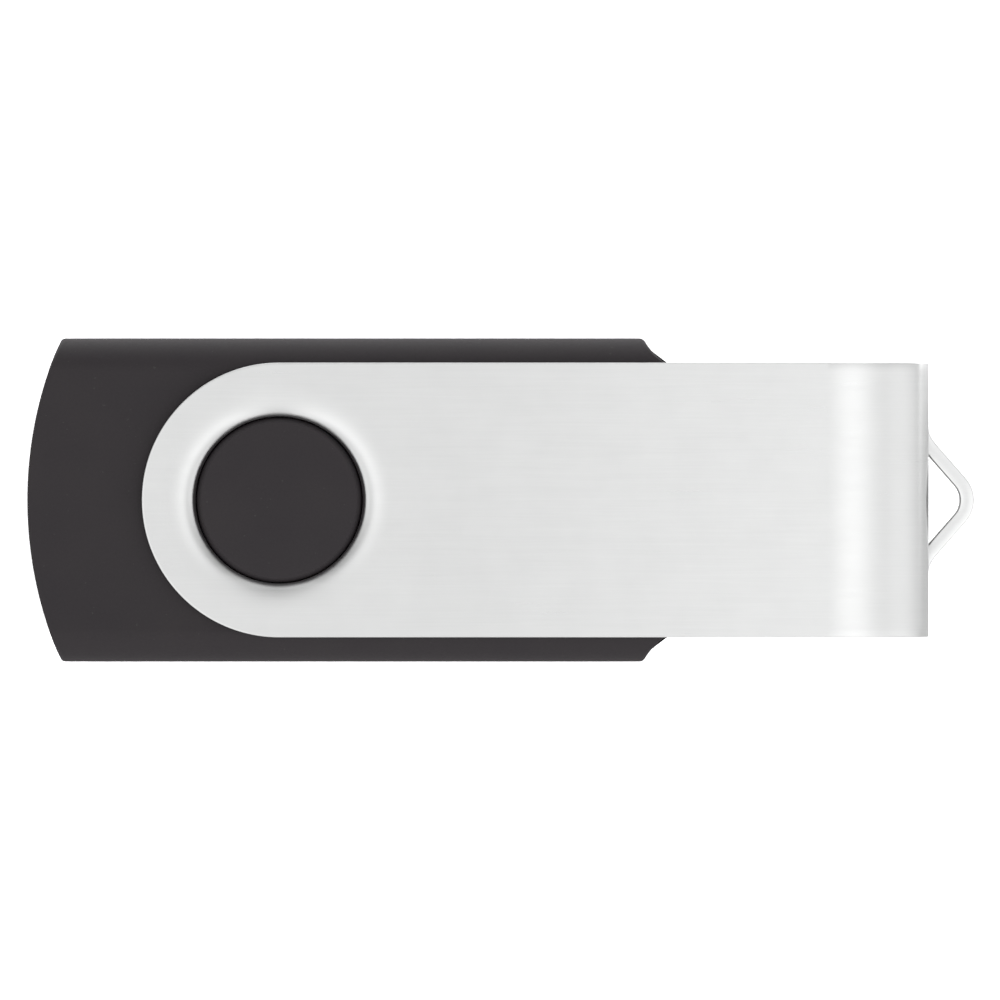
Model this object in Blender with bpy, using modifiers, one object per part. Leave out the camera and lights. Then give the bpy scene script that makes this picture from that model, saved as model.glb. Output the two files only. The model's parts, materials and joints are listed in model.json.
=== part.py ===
"""Swivel USB flash drive: a flat plastic case with a USB-A plug and a folded metal clip.

Metres, +Z up. The origin is on the swivel axis, in the plane that the closed drive rests on. +X points
along the plug, so that the clip's bend and its lanyard loop are at the +X end while the drive is closed.
Heights inside the drive are counted from its mid-plane: two empties carry everything at that height.
"""

import math

import bmesh
import bpy
from mathutils import Matrix

MM = 0.001
CLEARANCE = 0.1 * MM

# Clip: one strip of sheet metal, folded round the plug, with a dished pivot hole in each arm
SHEET = 0.8 * MM
CLIP_WIDTH = 16.0 * MM
CLIP_HEIGHT = 10.6 * MM
CLIP_END = 37.9 * MM
BEND_LENGTH = 6.0 * MM
UPRIGHT_END = 5.0 * MM
HOLE_RADIUS = 4.88 * MM
DISH_RADIUS = 7.0 * MM
DISH_DEPTH = 0.22 * MM
LIP_DEPTH = 0.22 * MM

# Lanyard loop: a strip of the bend, slit free above and below and pressed outwards to a point
LOOP_HEIGHT = 2.7 * MM
LOOP_SLIT = 0.25 * MM
LOOP_REACH = 2.7 * MM
LOOP_ANGLE = 41.2
LOOP_TIP_RADIUS = 1.9 * MM
LOOP_ROOT_RADIUS = 1.7 * MM

# Case: two mirrored halves that meet at the mid-plane
CASE_WIDTH = 18.9 * MM
CASE_HEIGHT = 8.6 * MM
CASE_REAR = -14.7 * MM
REAR_RADIUS = 23.5 * MM
REAR_CORNER = 0.3 * MM
EDGE_REACH = 1.9 * MM
EDGE_RISE = 2.6 * MM
SEAM = 0.1 * MM
SHOULDER = 21.0 * MM
SHOULDER_CORNER = 0.4 * MM
FLARE_RADIUS = 3.6 * MM
NECK_WIDTH = 14.8 * MM
NECK_FACE = 23.5 * MM
WALL = 1.3 * MM
CEILING = 2.7 * MM
CAVITY_FRONT = 20.0 * MM

# Pivot: a round boss on each half, standing in a sunk ring that takes the clip's dish
BOSS_RADIUS = 4.8 * MM
BOSS_FACE_RADIUS = 4.54 * MM
BOSS_CHAMFER = 0.5 * MM
BOSS_WALL = 1.3 * MM
RECESS_RADIUS = 7.1 * MM
RECESS_FLOOR = 3.9 * MM

# Joint between the halves: a lip on the lower half in a rebate of the upper one
LIP_HEIGHT = 0.75 * MM
LIP_INSET = 0.8 * MM
REBATE_INSET = 0.65 * MM
LIP_FRONT = CAVITY_FRONT - 0.4 * MM

# USB-A plug
PLUG_WIDTH = 12.0 * MM
PLUG_HEIGHT = 4.5 * MM
PLUG_SHEET = 0.3 * MM
PLUG_CORNER = 0.6 * MM
PLUG_TIP = 35.4 * MM
PLUG_REAR = 17.2 * MM
LEG_REAR = 15.7 * MM
LEG_TOP = 1.2 * MM
LEG_FOOT = -1.75 * MM
WINDOW_LENGTH = 2.0 * MM
WINDOW_WIDTH = 2.5 * MM
WINDOW_FROM_TIP = 5.2 * MM
WINDOW_SPACING = 5.8 * MM
TONGUE_TOP = -0.05 * MM
TONGUE_TIP = PLUG_TIP - 0.6 * MM
PLUG_BLOCK_LENGTH = 2.2 * MM
CONTACT_WIDTH = 1.0 * MM
CONTACT_TOP = 0.05 * MM
CONTACT_BOTTOM = -0.2 * MM
CONTACT_TAIL = 14.7 * MM
# Each contact's name, its place across the plug, and how far its front end is set back from the tongue's
CONTACTS = (
    ("ground", -3.5 * MM, 1.2 * MM),
    ("data_plus", -1.0 * MM, 2.2 * MM),
    ("data_minus", 1.0 * MM, 2.2 * MM),
    ("power", 3.5 * MM, 1.2 * MM),
)

# Circuit board, with the flash memory on its upper side and the controller on its lower side
BOARD_TOP = -0.3 * MM
BOARD_BOTTOM = -1.3 * MM
BOARD_WIDTH = 14.4 * MM
BOARD_REAR = -12.1 * MM
BOARD_FRONT = 17.0 * MM
LEDGE_WIDTH = 1.7 * MM
PEG_RADIUS = 0.5 * MM
PEG_X = 12.0 * MM
LEAD_THICKNESS = 0.15 * MM
LEAD_PITCH = 0.5 * MM
LEAD_WIDTH = 0.22 * MM
STAND_OFF = 0.06 * MM
PACKAGE_TAPER = 0.2 * MM
MARK_INSET = 1.2 * MM

PLANES = {
    "XY": Matrix.Identity(4),
    "XZ": Matrix(((1, 0, 0, 0), (0, 0, -1, 0), (0, 1, 0, 0), (0, 0, 0, 1))),
    "YZ": Matrix(((0, 0, 1, 0), (1, 0, 0, 0), (0, 1, 0, 0), (0, 0, 0, 1))),
}


# ---------------------------------------------------------------- scene


def clear_scene():
    for obj in list(bpy.data.objects):
        bpy.data.objects.remove(obj)


def new_collection(name):
    collection = bpy.data.collections.new(name)
    bpy.context.scene.collection.children.link(collection)
    return collection


def new_material(name, color, roughness, metallic=0.0):
    material = bpy.data.materials.new(name)
    material.use_nodes = True
    surface = material.node_tree.nodes["Principled BSDF"]
    surface.inputs["Base Color"].default_value = (*color, 1)
    surface.inputs["Roughness"].default_value = roughness
    surface.inputs["Metallic"].default_value = metallic
    material.diffuse_color = (*color, 1)
    return material


clear_scene()
PARTS = new_collection("usb_flash_drive")
CUTTERS = new_collection("cutters")

BLACK_PLASTIC = new_material("black_plastic", (0.045, 0.042, 0.045), 0.55)
ALUMINIUM = new_material("brushed_aluminium", (0.76, 0.76, 0.76), 0.35, 1.0)
NICKEL = new_material("nickel_plate", (0.68, 0.67, 0.64), 0.22, 1.0)
GOLD = new_material("gold_plate", (0.83, 0.6, 0.25), 0.25, 1.0)
TONGUE_PLASTIC = new_material("tongue_plastic", (0.82, 0.82, 0.8), 0.45)
BOARD_GREEN = new_material("solder_mask", (0.02, 0.14, 0.06), 0.4)
CHIP_BLACK = new_material("chip_epoxy", (0.02, 0.02, 0.022), 0.6)
CERAMIC_TAN = new_material("capacitor_ceramic", (0.45, 0.33, 0.2), 0.5)
CERAMIC_DARK = new_material("resistor_ceramic", (0.03, 0.03, 0.035), 0.5)


def new_empty(name, height):
    empty = bpy.data.objects.new(name, None)
    empty.empty_display_size = 5 * MM
    empty.location = (0, 0, height)
    PARTS.objects.link(empty)
    return empty


DRIVE_FRAME = new_empty("drive_frame", CLIP_HEIGHT / 2)
SWIVEL_AXIS = new_empty("swivel_axis", CLIP_HEIGHT / 2)


def place_part(obj, material, parent=DRIVE_FRAME):
    """Makes obj a sub-part of the drive, in its own material."""
    PARTS.objects.link(obj)
    obj.parent = parent
    obj.data.materials.clear()
    obj.data.materials.append(material)
    return obj


def combine(target, tool, operation):
    """Adds a Boolean of target with tool, a hidden wire shape that is placed in target's own frame."""
    CUTTERS.objects.link(tool)
    tool.parent = target
    tool.hide_render = True
    tool.display_type = "WIRE"
    modifier = target.modifiers.new(tool.name, "BOOLEAN")
    modifier.operation = operation
    modifier.solver = "EXACT"
    modifier.object = tool


def cut(target, tool):
    combine(target, tool, "DIFFERENCE")


def join(target, tool):
    combine(target, tool, "UNION")


# ---------------------------------------------------------------- shapes


def cleaned(mesh):
    """The mesh with its doubled points joined and its faces pointing out."""
    shape = bmesh.new()
    shape.from_mesh(mesh)
    bmesh.ops.remove_doubles(shape, verts=shape.verts, dist=0.0001 * MM)
    bmesh.ops.recalc_face_normals(shape, faces=shape.faces)
    shape.to_mesh(mesh)
    shape.free()
    return mesh


def extruded(name, outlines, low, high, plane="XY"):
    """A solid from low to high across a plane, with these flat outlines. The later ones are holes."""
    curve = bpy.data.curves.new(name, "CURVE")
    curve.dimensions = "2D"
    curve.fill_mode = "BOTH"
    curve.extrude = (high - low) / 2
    for outline in outlines:
        spline = curve.splines.new("POLY")
        spline.points.add(len(outline) - 1)
        spline.use_cyclic_u = True
        for point, (across, up) in zip(spline.points, outline):
            point.co = (across, up, 0, 1)
    guide = bpy.data.objects.new(name + "_outline", curve)
    CUTTERS.objects.link(guide)
    graph = bpy.context.evaluated_depsgraph_get()
    mesh = bpy.data.meshes.new_from_object(guide.evaluated_get(graph))
    bpy.data.objects.remove(guide)
    mesh.name = name
    middle = (low + high) / 2
    shift = Matrix.Translation((0, 0, -middle if plane == "XZ" else middle))
    mesh.transform(PLANES[plane] @ shift)
    return bpy.data.objects.new(name, cleaned(mesh))


def box(name, low, high):
    """A box between two corners, with its origin at its centre."""
    shape = bmesh.new()
    bmesh.ops.create_cube(shape, size=1)
    bmesh.ops.scale(shape, vec=[b - a for a, b in zip(low, high)], verts=shape.verts)
    mesh = bpy.data.meshes.new(name)
    shape.to_mesh(mesh)
    shape.free()
    obj = bpy.data.objects.new(name, mesh)
    obj.location = [(a + b) / 2 for a, b in zip(low, high)]
    return obj


def cylinder(name, center, radius, low, high, segments=24):
    """An upright cylinder between two heights."""
    shape = bmesh.new()
    bmesh.ops.create_cone(
        shape, segments=segments, radius1=radius, radius2=radius, depth=high - low, cap_ends=True
    )
    mesh = bpy.data.meshes.new(name)
    shape.to_mesh(mesh)
    shape.free()
    mesh.shade_smooth()
    mesh.set_sharp_from_angle(angle=math.radians(40))
    obj = bpy.data.objects.new(name, mesh)
    obj.location = (*center, (low + high) / 2)
    return obj


def turned(name, profile, steps=48):
    """A turned solid. The profile holds (radius, height) points from top centre to bottom centre."""
    mesh = bpy.data.meshes.new(name)
    points = [(radius, 0, height) for radius, height in profile]
    mesh.from_pydata(points, [(i, i + 1) for i in range(len(points) - 1)], [])
    obj = bpy.data.objects.new(name, mesh)
    screw = obj.modifiers.new("turn", "SCREW")
    screw.steps = steps
    screw.render_steps = steps
    screw.use_merge_vertices = True
    screw.merge_threshold = 0.001 * MM
    return obj


def arc(center, radii, start, end, steps):
    """Points from start to end, in degrees, on an ellipse round center."""
    angles = [math.radians(start + (end - start) * i / steps) for i in range(steps + 1)]
    return [
        (center[0] + radii[0] * math.cos(a), center[1] + radii[1] * math.sin(a)) for a in angles
    ]


def mirrored(points):
    """The outline that points and their mirror image in the first axis make together."""
    return points + [(x, -y) for x, y in reversed(points) if y > 0]


def rounded_rectangle(width, height, corner, steps=4):
    """Outline of a rectangle with round corners, centred on the origin."""
    x = width / 2 - corner
    y = height / 2 - corner
    corners = ((x, y, 0), (-x, y, 90), (-x, -y, 180), (x, -y, 270))
    return [
        point
        for cx, cy, start in corners
        for point in arc((cx, cy), (corner, corner), start, start + 90, steps)
    ]


# ---------------------------------------------------------------- case


def rear_half_outline(inset):
    """The +Y side of the case in plan, from the straight side to the middle of the bowed rear end."""
    half = CASE_WIDTH / 2 - inset
    radius = REAR_RADIUS - inset
    middle = CASE_REAR + REAR_RADIUS
    corner_y = half - REAR_CORNER
    corner_x = middle - math.sqrt((radius - REAR_CORNER) ** 2 - corner_y**2)
    turn = math.degrees(math.atan2(corner_y, corner_x - middle))
    corner = arc((corner_x, corner_y), (REAR_CORNER, REAR_CORNER), 90, turn, 4)
    return corner + arc((middle, 0), (radius, radius), turn, 180, 6)[1:]


def shoulder_outline():
    """The +Y side of the case's front end, flaring from the neck's flat face to the straight side."""
    corner_y = CASE_WIDTH / 2 - SHOULDER_CORNER
    flare_y = NECK_WIDTH / 2 + FLARE_RADIUS
    reach = FLARE_RADIUS + SHOULDER_CORNER
    flare_x = SHOULDER + math.sqrt(reach**2 - (flare_y - corner_y) ** 2)
    start = 360 - math.degrees(math.acos((NECK_FACE - flare_x) / FLARE_RADIUS))
    end = math.degrees(math.atan2(corner_y - flare_y, SHOULDER - flare_x)) % 360
    flare = arc((flare_x, flare_y), (FLARE_RADIUS, FLARE_RADIUS), start, end, 6)
    corner = arc((SHOULDER, corner_y), (SHOULDER_CORNER, SHOULDER_CORNER), end - 180, 90, 3)
    return flare + corner[1:]


def case_plan(inset, front):
    """The case in plan, moved in by inset and cut square at front."""
    side = CASE_WIDTH / 2 - inset
    return mirrored([(front, side)] + rear_half_outline(inset))


def case_section():
    """Cross-section of one half: upright sides, elliptical long edges and a flat face."""
    side = CASE_WIDTH / 2
    upright = CASE_HEIGHT / 2 - EDGE_RISE
    edge = arc((side - EDGE_REACH, upright), (EDGE_REACH, EDGE_RISE), 0, 90, 6)
    right = [(side, SEAM / 2)] + edge
    return right + [(-y, z) for y, z in reversed(right)]


def boss_profile():
    """Half outline of the boss, with a steep chamfer round its face."""
    top = CLIP_HEIGHT / 2
    foot = (RECESS_FLOOR + CEILING) / 2
    return [
        (0, top),
        (BOSS_FACE_RADIUS, top),
        (BOSS_RADIUS, top - BOSS_CHAMFER),
        (BOSS_RADIUS, foot),
        (0, foot),
    ]


def case_half(name, turn):
    """One half of the case with its pivot boss, built face up on the mid-plane and then turned about X."""
    half = extruded(name, [case_section()], CASE_REAR - MM, NECK_FACE, "YZ")
    half.rotation_euler = (turn, 0, 0)
    place_part(half, BLACK_PLASTIC)
    plan = mirrored(shoulder_outline() + rear_half_outline(0))
    combine(half, extruded(name + "_plan", [plan], -MM, CASE_HEIGHT), "INTERSECT")
    cut(half, cylinder(name + "_recess", (0, 0), RECESS_RADIUS, RECESS_FLOOR, CASE_HEIGHT, 48))
    join(half, turned(name + "_boss", boss_profile()))
    return half


def open_half(half):
    """Cores the boss from inside, and lets the plug out through the neck."""
    core_top = CLIP_HEIGHT / 2 - BOSS_WALL
    cut(half, cylinder("boss_core", (0, 0), BOSS_RADIUS - BOSS_WALL, CEILING - MM, core_top))
    side = PLUG_WIDTH / 2 + 1.5 * CLEARANCE
    top = PLUG_HEIGHT / 2 + 1.5 * CLEARANCE
    low = (CAVITY_FRONT - MM, -side, -MM)
    cut(half, box("plug_opening", low, (NECK_FACE + MM, side, top)))


def add_board_posts(shell):
    """Square posts under the roof, which hold the board down on the lower half's ledge."""
    half = 0.4 * MM
    foot = BOARD_TOP + CLEARANCE
    head = CEILING + 0.5 * MM
    for x in (-11.6 * MM, 15.0 * MM):
        for y in (-6.7 * MM, 6.7 * MM):
            join(shell, box("board_post", (x - half, y - half, foot), (x + half, y + half, head)))


def top_shell():
    shell = case_half("top_shell", 0)
    cut(shell, extruded("top_cavity", [case_plan(WALL, CAVITY_FRONT)], -MM, CEILING))
    rebate = case_plan(REBATE_INSET, LIP_FRONT + CLEARANCE)
    cut(shell, extruded("top_rebate", [rebate], -MM, LIP_HEIGHT + 1.5 * CLEARANCE))
    open_half(shell)
    add_board_posts(shell)


def bottom_shell():
    """The half with the lip, the ledge under the board, and two pegs that take the push on the plug."""
    shell = case_half("bottom_shell", math.pi)
    lip_foot = CASE_HEIGHT / 2 - EDGE_RISE - MM
    join(shell, extruded("lip", [case_plan(LIP_INSET, LIP_FRONT)], -LIP_HEIGHT, lip_foot))
    ledge = CLEARANCE - BOARD_BOTTOM
    cut(shell, extruded("upper_cavity", [case_plan(WALL, CAVITY_FRONT)], -MM, ledge))
    below_board = case_plan(WALL + LEDGE_WIDTH, CAVITY_FRONT)
    cut(shell, extruded("lower_cavity", [below_board], ledge - CLEARANCE, CEILING))
    open_half(shell)
    for y in (-BOARD_WIDTH / 2, BOARD_WIDTH / 2):
        join(shell, cylinder("board_peg", (PEG_X, y), PEG_RADIUS, -BOARD_TOP, ledge + 0.3 * MM, 16))


# ---------------------------------------------------------------- clip


def loop_bulge(y):
    """How far the lanyard loop stands out at y, and the cosine of its slope there.

    Each leg is straight between a round tip and a round root that ends flush with the bend.
    """
    slope = math.radians(LOOP_ANGLE)
    across = abs(y)
    sharp_tip = LOOP_REACH + LOOP_TIP_RADIUS * (1 / math.cos(slope) - 1)
    tip_end = LOOP_TIP_RADIUS * math.sin(slope)
    sharp_root = sharp_tip / math.tan(slope)
    root_edge = sharp_root + LOOP_ROOT_RADIUS * math.tan(slope / 2)
    root_start = root_edge - LOOP_ROOT_RADIUS * math.sin(slope)
    if across >= root_edge:
        return 0.0, 1.0
    if across < tip_end:
        rise = math.sqrt(LOOP_TIP_RADIUS**2 - across**2)
        return LOOP_REACH - LOOP_TIP_RADIUS + rise, rise / LOOP_TIP_RADIUS
    if across > root_start:
        rise = math.sqrt(LOOP_ROOT_RADIUS**2 - (root_edge - across) ** 2)
        return LOOP_ROOT_RADIUS - rise, rise / LOOP_ROOT_RADIUS
    return sharp_tip - across * math.tan(slope), math.cos(slope)


def dish_drop(radius):
    """How far the sheet is pressed in at a distance from the pivot: a dish with a rolled lip at the hole."""
    share = max((DISH_RADIUS - radius) / (DISH_RADIUS - HOLE_RADIUS), 0)
    return DISH_DEPTH * share**3 + LIP_DEPTH * share**8


def arm_rings(steps, rings):
    """Rings of points from the pivot hole to the arm's edge, which is round behind and square in front."""
    half = CLIP_WIDTH / 2
    top = CLIP_HEIGHT / 2
    directions = [math.tau * i / steps for i in range(steps + 1)]
    rows = []
    for ring in range(rings + 1):
        radius = DISH_RADIUS - (DISH_RADIUS - HOLE_RADIUS) * math.sqrt(1 - ring / rings)
        height = top - dish_drop(radius)
        rows.append([(radius * math.cos(a), radius * math.sin(a), height) for a in directions])
    edge = []
    for a in directions:
        reach = half / max(math.cos(a), abs(math.sin(a))) if math.cos(a) > 0 else half
        edge.append((reach * math.cos(a), reach * math.sin(a), top))
    return rows + [edge]


def bend_rows(across, steps):
    """Rows of points down the upper half of the bend: an ellipse quadrant, then half of the upright end."""
    start = CLIP_END - BEND_LENGTH
    foot = UPRIGHT_END / 2
    rise = CLIP_HEIGHT / 2 - foot
    angles = [math.pi / 2 * (1 - i / steps) for i in range(steps + 1)]
    section = [(start + BEND_LENGTH * math.cos(a), foot + rise * math.sin(a)) for a in angles]
    section += [(CLIP_END, height) for height in (LOOP_HEIGHT / 2 + LOOP_SLIT, LOOP_HEIGHT / 2, 0)]
    return [[(x, y, height) for y in across] for x, height in section]


def add_rows(skin, rows, left_out=lambda row, column: False):
    """Joins successive rows of points with quads."""
    verts = [[skin.verts.new(point) for point in row] for row in rows]
    for row, (near, far) in enumerate(zip(verts, verts[1:])):
        for column in range(len(near) - 1):
            if not left_out(row, column):
                skin.faces.new((near[column], far[column], far[column + 1], near[column + 1]))


def press_out_loop(skin):
    """Moves the strip that the slits free outwards."""
    for vert in skin.verts:
        if vert.co.x > CLIP_END - MM and vert.co.z < (LOOP_HEIGHT + LOOP_SLIT) / 2:
            vert.co.x += loop_bulge(vert.co.y)[0]


def clip_skin(steps, rings, bend_steps):
    """The clip's outer skin above the mid-plane: arm, upper half of the bend and upper half of the loop."""
    half = CLIP_WIDTH / 2
    top = CLIP_HEIGHT / 2
    across = [half * math.tan(math.tau * i / steps) for i in range(-steps // 8, steps // 8 + 1)]
    root = half * math.tan(math.radians(30))

    def in_slit(row, column):
        middle = (across[column] + across[column + 1]) / 2
        return row == bend_steps + 1 and abs(middle) < root

    skin = bmesh.new()
    add_rows(skin, arm_rings(steps, rings))
    add_rows(skin, [[(x, y, top) for y in across] for x in (half, CLIP_END - BEND_LENGTH)])
    add_rows(skin, bend_rows(across, bend_steps), in_slit)
    bmesh.ops.remove_doubles(skin, verts=skin.verts, dist=0.001 * MM)
    press_out_loop(skin)
    return skin


def swivel_clip():
    """The skin mirrored below the mid-plane and thickened inwards, thinner in the loop's legs."""
    skin = clip_skin(steps=48, rings=4, bend_steps=5)
    mesh = bpy.data.meshes.new("swivel_clip")
    skin.to_mesh(mesh)
    skin.free()
    mesh.shade_smooth()
    clip = place_part(bpy.data.objects.new("swivel_clip", mesh), ALUMINIUM, SWIVEL_AXIS)

    thickness = clip.vertex_groups.new(name="sheet_thickness")
    for vert in mesh.vertices:
        slope = loop_bulge(vert.co.y)[1] if vert.co.x > CLIP_END else 1
        thickness.add([vert.index], (3 + slope) / 4, "REPLACE")
    mirror = clip.modifiers.new("lower_half", "MIRROR")
    mirror.use_axis = (False, False, True)
    mirror.merge_threshold = 0.001 * MM
    solidify = clip.modifiers.new("sheet", "SOLIDIFY")
    solidify.thickness = SHEET
    solidify.offset = -1
    solidify.use_even_offset = True
    solidify.vertex_group = thickness.name


# ---------------------------------------------------------------- plug


def plug_shield():
    """Drawn nickel-plated tube. Its side walls run on behind as the legs that are soldered to the board."""
    outer = rounded_rectangle(PLUG_WIDTH, PLUG_HEIGHT, PLUG_CORNER)
    inner = rounded_rectangle(
        PLUG_WIDTH - 2 * PLUG_SHEET, PLUG_HEIGHT - 2 * PLUG_SHEET, PLUG_CORNER - PLUG_SHEET
    )
    shield = extruded("plug_shield", [outer, inner], LEG_REAR, PLUG_TIP, "YZ")
    place_part(shield, NICKEL)
    window_x = PLUG_TIP - WINDOW_FROM_TIP
    for side in (-1, 1):
        y = side * WINDOW_SPACING / 2
        low = (window_x - WINDOW_LENGTH, y - WINDOW_WIDTH / 2, -PLUG_HEIGHT)
        high = (window_x, y + WINDOW_WIDTH / 2, PLUG_HEIGHT)
        cut(shield, box("shield_windows", low, high))
    rear = LEG_REAR - MM
    between_legs = PLUG_WIDTH / 2 - 1.5 * PLUG_SHEET
    for low, high in (
        ((rear, -between_legs, -PLUG_HEIGHT), (PLUG_REAR, between_legs, PLUG_HEIGHT)),
        ((rear, -PLUG_WIDTH, LEG_TOP), (PLUG_REAR, PLUG_WIDTH, PLUG_HEIGHT)),
        ((rear, -PLUG_WIDTH, -PLUG_HEIGHT), (PLUG_REAR, PLUG_WIDTH, LEG_FOOT)),
    ):
        cut(shield, box("shield_legs", low, high))


def plug_insulator():
    """Moulded block that fills the back of the shield, with a tongue for the contacts in its lower half."""
    rear = PLUG_REAR + CLEARANCE
    step = rear + PLUG_BLOCK_LENGTH
    top = PLUG_HEIGHT / 2 - PLUG_SHEET - CLEARANCE
    side = PLUG_WIDTH / 2 - PLUG_SHEET - CLEARANCE
    outline = [
        (rear, -top),
        (TONGUE_TIP, -top),
        (TONGUE_TIP, TONGUE_TOP),
        (step, TONGUE_TOP),
        (step, top),
        (rear, top),
    ]
    insulator = place_part(extruded("plug_insulator", [outline], -side, side, "XZ"), TONGUE_PLASTIC)
    bevel = insulator.modifiers.new("moulded_corners", "BEVEL")
    bevel.width = 0.2 * MM
    bevel.segments = 1
    bevel.limit_method = "ANGLE"
    for name, y, set_back in CONTACTS:
        half = CONTACT_WIDTH / 2 + CLEARANCE
        low = (rear - MM, y - half, CONTACT_BOTTOM - CLEARANCE)
        high = (TONGUE_TIP - set_back + CLEARANCE, y + half, CONTACT_TOP + CLEARANCE)
        cut(insulator, box(name + "_slot", low, high))


def plug_contact(name, y, set_back):
    """Flat strip from the plug's mouth to its solder tail on the board, with a chamfered front end."""
    front = TONGUE_TIP - set_back
    chamfer = 0.15 * MM
    outline = [
        (CONTACT_TAIL, CONTACT_BOTTOM),
        (front, CONTACT_BOTTOM),
        (front, CONTACT_TOP - chamfer),
        (front - chamfer, CONTACT_TOP),
        (CONTACT_TAIL, CONTACT_TOP),
    ]
    half = CONTACT_WIDTH / 2
    contact = extruded("plug_contact_" + name, [outline], y - half, y + half, "XZ")
    place_part(contact, GOLD)


# ---------------------------------------------------------------- board


def circuit_board():
    """Board with side notches for the case's pegs and front slots for the shield's legs."""
    width = BOARD_WIDTH
    outline = rounded_rectangle(BOARD_FRONT - BOARD_REAR, width, 0.5 * MM, 2)
    middle = (BOARD_FRONT + BOARD_REAR) / 2
    outline = [(x + middle, y) for x, y in outline]
    board = place_part(extruded("circuit_board", [outline], BOARD_BOTTOM, BOARD_TOP), BOARD_GREEN)
    slot_depth = BOARD_FRONT - LEG_REAR + 2 * CLEARANCE
    for side in (-1, 1):
        peg = (PEG_X, side * width / 2)
        cut(board, cylinder("peg_notch", peg, PEG_RADIUS + CLEARANCE, -2 * MM, MM, 16))
        leg = side * (PLUG_WIDTH - PLUG_SHEET) / 2
        half = PLUG_SHEET / 2 + CLEARANCE
        low = (BOARD_FRONT - slot_depth, leg - half, -2 * MM)
        high = (BOARD_FRONT + MM, leg + half, MM)
        cut(board, box("leg_slot", low, high))


def mount_on_board(obj, material, place, underside=False):
    """Stands a component, built upwards from its own origin, on the board's upper or lower face."""
    place_part(obj, material)
    obj.location = (*place, BOARD_BOTTOM if underside else BOARD_TOP)
    obj.rotation_euler = (math.pi if underside else 0, 0, 0)


def chip_package(name, length, width, height):
    """Moulded package with slightly tapered sides, standing just clear of the board."""
    shape = bmesh.new()
    bmesh.ops.create_cube(shape, size=1)
    bmesh.ops.scale(shape, vec=(length, width, height), verts=shape.verts)
    for vert in shape.verts:
        if vert.co.z > 0:
            vert.co.x *= 1 - PACKAGE_TAPER / length
            vert.co.y *= 1 - PACKAGE_TAPER / width
        vert.co.z += STAND_OFF + height / 2
    mesh = bpy.data.meshes.new(name)
    shape.to_mesh(mesh)
    shape.free()
    return bpy.data.objects.new(name, mesh)


def lead_row(package_end, package_height, count, pitch, width, reach):
    """A row of bent leads, along Y at the +X end of a package."""
    middle = STAND_OFF + package_height / 2
    knee = package_end + 0.35 * reach
    outline = [
        (package_end - 2 * LEAD_THICKNESS, middle),
        (package_end - 2 * LEAD_THICKNESS, middle - LEAD_THICKNESS),
        (knee - LEAD_THICKNESS, middle - LEAD_THICKNESS),
        (knee, STAND_OFF),
        (package_end + reach, STAND_OFF),
        (package_end + reach, STAND_OFF + LEAD_THICKNESS),
        (knee + LEAD_THICKNESS, STAND_OFF + LEAD_THICKNESS),
        (knee, middle),
    ]
    first = -pitch * (count - 1) / 2
    leads = extruded("leads", [outline], first - width / 2, first + width / 2, "XZ")
    array = leads.modifiers.new("row", "ARRAY")
    array.count = count
    array.use_relative_offset = False
    array.use_constant_offset = True
    array.constant_offset_displace = (0, pitch, 0)
    return leads


def repeat_at_other_end(leads):
    mirror = leads.modifiers.new("other_end", "MIRROR")
    mirror.use_mirror_merge = False


def mark_pin_one(package, length, width, height):
    """A shallow round mark in one corner of the package's top."""
    top = STAND_OFF + height
    corner = (MARK_INSET - length / 2, width / 2 - MARK_INSET)
    cut(package, cylinder("pin_one_mark", corner, 0.4 * MM, top - CLEARANCE, top + MM, 12))


def flash_memory_chip():
    """48-lead thin package, with its leads along its two short ends."""
    length, width, height = 18.4 * MM, 12.0 * MM, 1.1 * MM
    chip = chip_package("flash_memory_chip", length, width, height)
    mount_on_board(chip, CHIP_BLACK, (-0.5 * MM, 0))
    leads = lead_row(length / 2, height, 24, LEAD_PITCH, LEAD_WIDTH, 0.8 * MM)
    repeat_at_other_end(leads)
    join(chip, leads)
    mark_pin_one(chip, length, width, height)


def controller_chip():
    """Square package under the board, with twelve leads on each side."""
    side, height = 7.0 * MM, 1.0 * MM
    chip = chip_package("controller_chip", side, side, height)
    mount_on_board(chip, CHIP_BLACK, (9.4 * MM, 0), underside=True)
    for turn in (0, math.pi / 2):
        leads = lead_row(side / 2, height, 12, LEAD_PITCH, LEAD_WIDTH, MM)
        repeat_at_other_end(leads)
        leads.rotation_euler = (0, 0, turn)
        join(chip, leads)
    mark_pin_one(chip, side, side, height)


def voltage_regulator():
    """Three-lead package: two leads on one side and one on the other."""
    width, length, height = 1.3 * MM, 2.9 * MM, 0.95 * MM
    chip = chip_package("voltage_regulator", width, length, height)
    mount_on_board(chip, CHIP_BLACK, (12.2 * MM, -4.4 * MM))
    for count, turn in ((2, 0), (1, math.pi)):
        leads = lead_row(width / 2, height, count, 1.9 * MM, 0.4 * MM, 0.55 * MM)
        leads.rotation_euler = (0, 0, turn)
        join(chip, leads)


def crystal_oscillator():
    """Ceramic base with a seam-welded metal lid."""
    width, length = 3.2 * MM, 5.0 * MM
    base_outline = rounded_rectangle(width, length, 0.3 * MM, 2)
    lid_outline = rounded_rectangle(width - 0.6 * MM, length - 0.6 * MM, 0.3 * MM, 2)
    lid_foot = STAND_OFF + 0.7 * MM
    crystal = extruded("crystal_oscillator", [base_outline], STAND_OFF, lid_foot)
    mount_on_board(crystal, NICKEL, (12.3 * MM, 3.3 * MM))
    join(crystal, extruded("crystal_lid", [lid_outline], lid_foot - CLEARANCE, lid_foot + 0.25 * MM))


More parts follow.
